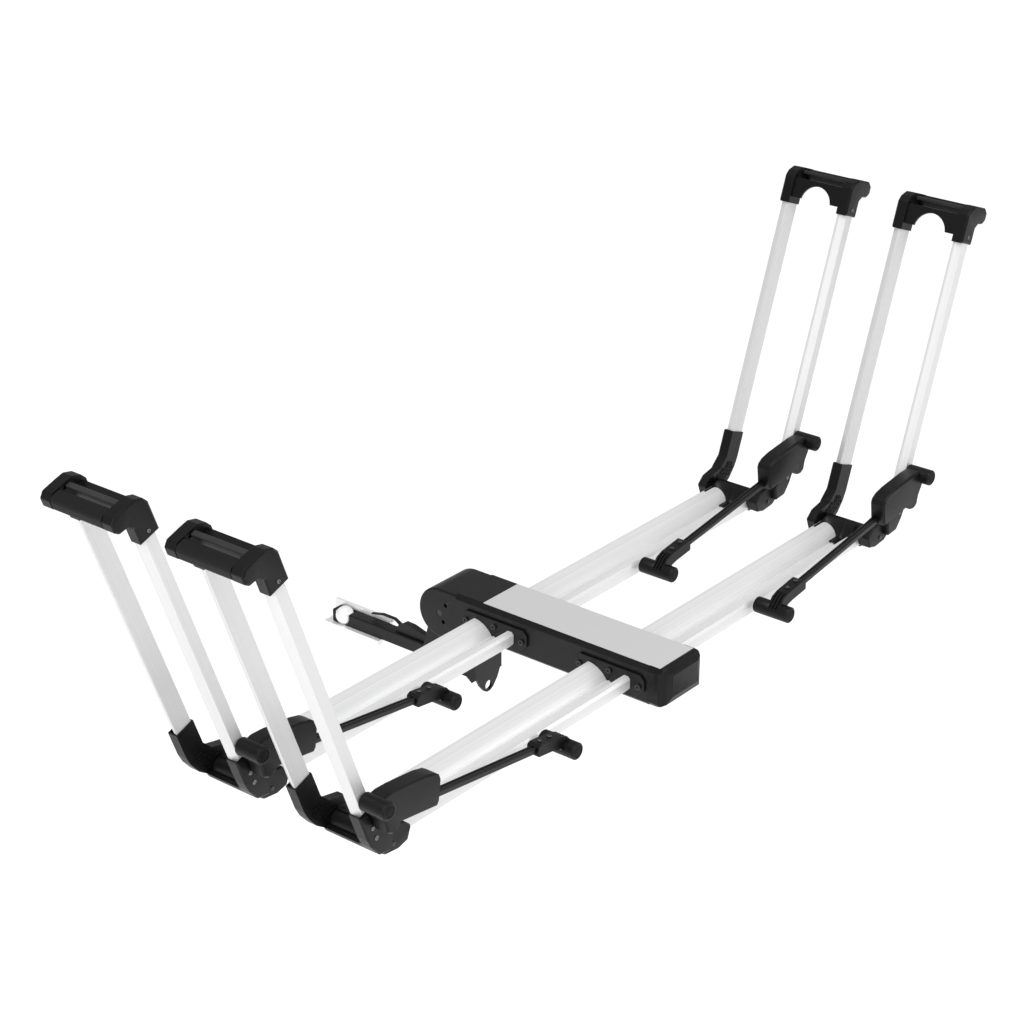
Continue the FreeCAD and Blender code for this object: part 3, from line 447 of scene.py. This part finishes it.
# Cylinders across a side arm: middle (Y from the row, along the rod, above it), half length, body.
CYLINDERS = {
    "hammer": ((-0.134, 0.0427, 0.0518), 0.031, "_side_arm"),
    "cross_pad": ((-0.112, PAD_ALONG, -0.0067), 0.045, "_rod"),
}
RIM_OUTER, RIM_INNER, RIM_HEIGHT = 0.0155, 0.0130, 0.0010
END_DISC = [(0.0, 0.0004), (0.0120, 0.0004), (0.0128, 0.0), (0.0128, -0.0006), (0.0, -0.0006)]

# Honeycomb rows in the arm's frame: place along the tubes, first cell across them, number of cells.
HONEYCOMB = ((0.0575, 0.026, 2), (0.049, 0.018, 3), (0.0405, 0.008, 4),
             (0.032, -0.002, 4), (0.0235, -0.008, 4), (0.015, -0.016, 4))
CELL_PITCH = 0.0098
CELL_RIM = [(0.0056, -0.0004), (0.0056, 0.0012), (0.0046, 0.0012), (0.0044, -0.0004)]
CELL_FLOOR = [(0.0, 0.0002), (0.0045, 0.0002), (0.0045, -0.0004), (0.0, -0.0004)]

# The tray's trough: places across it and heights, in millimetres.
TROUGH_Y = (-51, -40, -36, -30, -6, 0, 6, 20, 32, 42, 49, 53)
TROUGH_Z = (174, 174, 166, 145, 144, 147, 145, 147.5, 152.5, 160, 167.5, 174)
SADDLE_HALF_WIDTH = 0.0535
SADDLE_INBOARD, SADDLE_OUTBOARD = 0.798, 0.8655
RISE_START, RISE_LENGTH = 0.826, 0.034
ABOVE_TROUGH, DRUM_TOP = 0.0016, 0.1826
SADDLE_WALL = 0.0022


def arm_screws(station, row_y, side):
    """Socket screws in the elbow's and the head's outer faces."""
    elbow_places = [(arm_point(side, row_y + face, SCREW_ACROSS, along), (0.0, way, 0.0))
                    for face, way in ARM_FACES for along in SCREW_ALONG]
    socket_screws(station + "_elbow_screws", elbow_places, station + "_arm", 0.0052, 0.0009)
    head_places = [(arm_point(side, row_y + face, HEAD_SCREW_ACROSS, HEAD_SCREW_ALONG), (0.0, way, 0.0))
                   for face, way in ARM_FACES]
    socket_screws(station + "_head_screws", head_places, station + "_arm", 0.0042, 0.0014)


def pad_screws(station, row_y, side):
    """Socket screws in the side pad's top."""
    lift = (-side * math.sin(ROD_SLOPE), 0.0, math.cos(ROD_SLOPE))
    places = [(swing_point(side, row_y + PAD_SCREW_Y, PAD_ALONG + step, PAD_TOP), lift)
              for step in PAD_SCREW_STEPS]
    socket_screws(station + "_pad_screws", places, station + "_rod", 0.0048, 0.0014)


def cylinder_ends(station, row_y, side):
    """Raised rims on both ends of each cylinder, and dark discs inside them that are painted shade in the
    end recesses.
    """
    for name, ((offset, along, above), half_length, body) in CYLINDERS.items():
        x, y, z = swing_point(side, row_y + offset, along, above)
        ends = [((x, y + way * half_length, z), (0.0, way, 0.0)) for way in (-1.0, 1.0)]
        rims = [ring_band(centre, axis, RIM_OUTER, RIM_INNER, RIM_HEIGHT) for centre, axis in ends]
        merge_grids(f"{station}_{name}_rims", rims, station + body, plastic)
        # The end discs are painted shade: a darker copy of the plastic.
        discs = [turned(centre, axis, END_DISC, 28) for centre, axis in ends]
        merge_grids(f"{station}_{name}_end_discs", discs, station + body, painted_shade_plastic)


def honeycomb(station, row_y, side):
    """Moulded honeycomb in the elbow's gap-side face: six-sided rims round floors darkened with painted
    shade.

    Cell centres lie on a triangular grid in the arm's own frame; each rim is a square ring carried round
    a hexagon."""
    rims, floors = [], []
    for row, (along, first, count) in enumerate(HONEYCOMB):
        for cell in range(count):
            across = first + (cell + 0.5 * (row % 2)) * CELL_PITCH
            centre = arm_point(side, row_y + GAP_FACE, across, along)
            rims.append(turned(centre, (0.0, -1.0, 0.0), CELL_RIM, 6))
            floors.append(turned(centre, (0.0, -1.0, 0.0), CELL_FLOOR, 6))
    merge_grids(station + "_honeycomb_ribs", rims, station + "_arm", plastic)
    # The cell floors are painted shade: a darker copy of the plastic.
    merge_grids(station + "_honeycomb_floors", floors, station + "_arm", painted_shade_plastic)


def tray_saddle(station, row_y, side):
    """Dark saddle on the tray's end: it copies the trough, then rises to the hinge drum's top.

    Height is a blend of the trough's profile across y and the drum's top, by a smooth step along x."""
    y = np.linspace(-SADDLE_HALF_WIDTH, SADDLE_HALF_WIDTH, 61)
    trough = np.interp(y, MM * np.array(TROUGH_Y), MM * np.array(TROUGH_Z))
    x = np.linspace(SADDLE_INBOARD, SADDLE_OUTBOARD, 38)
    t = np.clip((x - RISE_START) / RISE_LENGTH, 0.0, 1.0)
    rise = (t * t * (3.0 - 2.0 * t))[:, None]
    height = (1.0 - rise) * (trough[None, :] + ABOVE_TROUGH) + rise * DRUM_TOP
    points = np.stack([np.broadcast_to(side * x[:, None], height.shape),
                       np.broadcast_to(row_y + y[None, :], height.shape), height], axis=-1)
    if side < 0:
        points = points[::-1]
    piece = grid_piece(station + "_tray_saddle", points, "beam", plastic,
                       close_v=False)
    if piece.data.polygons[0].normal.z < 0:
        piece.data.flip_normals()
    shell = piece.modifiers.new("moulded wall", "SOLIDIFY")
    shell.thickness = SADDLE_WALL
    shell.offset = 1.0


for station, row_y, side in STATIONS:
    arm_screws(station, row_y, side)
    pad_screws(station, row_y, side)
    cylinder_ends(station, row_y, side)
    honeycomb(station, row_y, side)
    tray_saddle(station, row_y, side)

# ---------------------------------------------------------------- studio
FLOOR_LEVEL, FLOOR_REACH = -1.4, 30.0
floor_mesh = bpy.data.meshes.new("studio_floor")
floor_mesh.from_pydata([(x * FLOOR_REACH, y * FLOOR_REACH, FLOOR_LEVEL)
                        for x, y in ((-1, -1), (1, -1), (1, 1), (-1, 1))], [], [(0, 1, 2, 3)])
floor = bpy.data.objects.new("studio_floor", floor_mesh)
floor_mesh.materials.append(Finish("white sweep").finish(Base_Color=grey(0.96), Roughness=0.9))
bpy.context.scene.collection.objects.link(floor)


def area_light(name, location, target, width, height, power):
    """Soft box at a place, facing a target."""
    data = bpy.data.lights.new(name, "AREA")
    data.shape = "RECTANGLE"
    data.size = width
    data.size_y = height
    data.energy = power
    lamp = bpy.data.objects.new(name, data)
    lamp.location = location
    direction = np.array(target) - np.array(location)
    lamp.rotation_euler = Vector(direction).to_track_quat("-Z", "Y").to_euler()
    bpy.context.scene.collection.objects.link(lamp)


RACK_MIDDLE = (0.0, -0.5, 0.3)
area_light("left_box", (-3.4, -1.2, 1.6), RACK_MIDDLE, 2.0, 1.6, 40.0)
area_light("rear_box", (1.6, -3.9, 2.2), RACK_MIDDLE, 2.4, 1.2, 40.0)

sun_data = bpy.data.lights.new("broad_overhead", "SUN")
sun_data.energy = 2.25
sun_data.angle = math.radians(50.0)
sun = bpy.data.objects.new("broad_overhead", sun_data)
sun.rotation_euler = Vector((0.35, 0.22, -1.0)).to_track_quat("-Z", "Y").to_euler()
bpy.context.scene.collection.objects.link(sun)

world = bpy.data.worlds.new("studio_air")
world.use_nodes = True
world.node_tree.nodes["Background"].inputs["Color"].default_value = (1.0, 1.0, 1.0, 1.0)
world.node_tree.nodes["Background"].inputs["Strength"].default_value = 0.45
bpy.context.scene.world = world
bpy.context.scene.view_settings.view_transform = "Standard"

# ---------------------------------------------------------------- camera
AZIMUTH, ELEVATION = math.radians(-50.79), math.radians(25.02)
TARGET = np.array([-0.19426, -0.53561, 0.53654])
DISTANCE = 5.3232
SENSOR, LENS = 36.0, 90.31992       # millimetres
back = np.array([math.sin(AZIMUTH) * math.cos(ELEVATION), -math.cos(AZIMUTH) * math.cos(ELEVATION),
                 math.sin(ELEVATION)])
camera_data = bpy.data.cameras.new("camera")
camera_data.sensor_width = SENSOR
camera_data.lens = LENS
camera = bpy.data.objects.new("camera", camera_data)
camera.location = TARGET + back * DISTANCE
camera.rotation_euler = (math.pi / 2 - ELEVATION, 0.0, AZIMUTH)
bpy.context.scene.collection.objects.link(camera)
bpy.context.scene.camera = camera
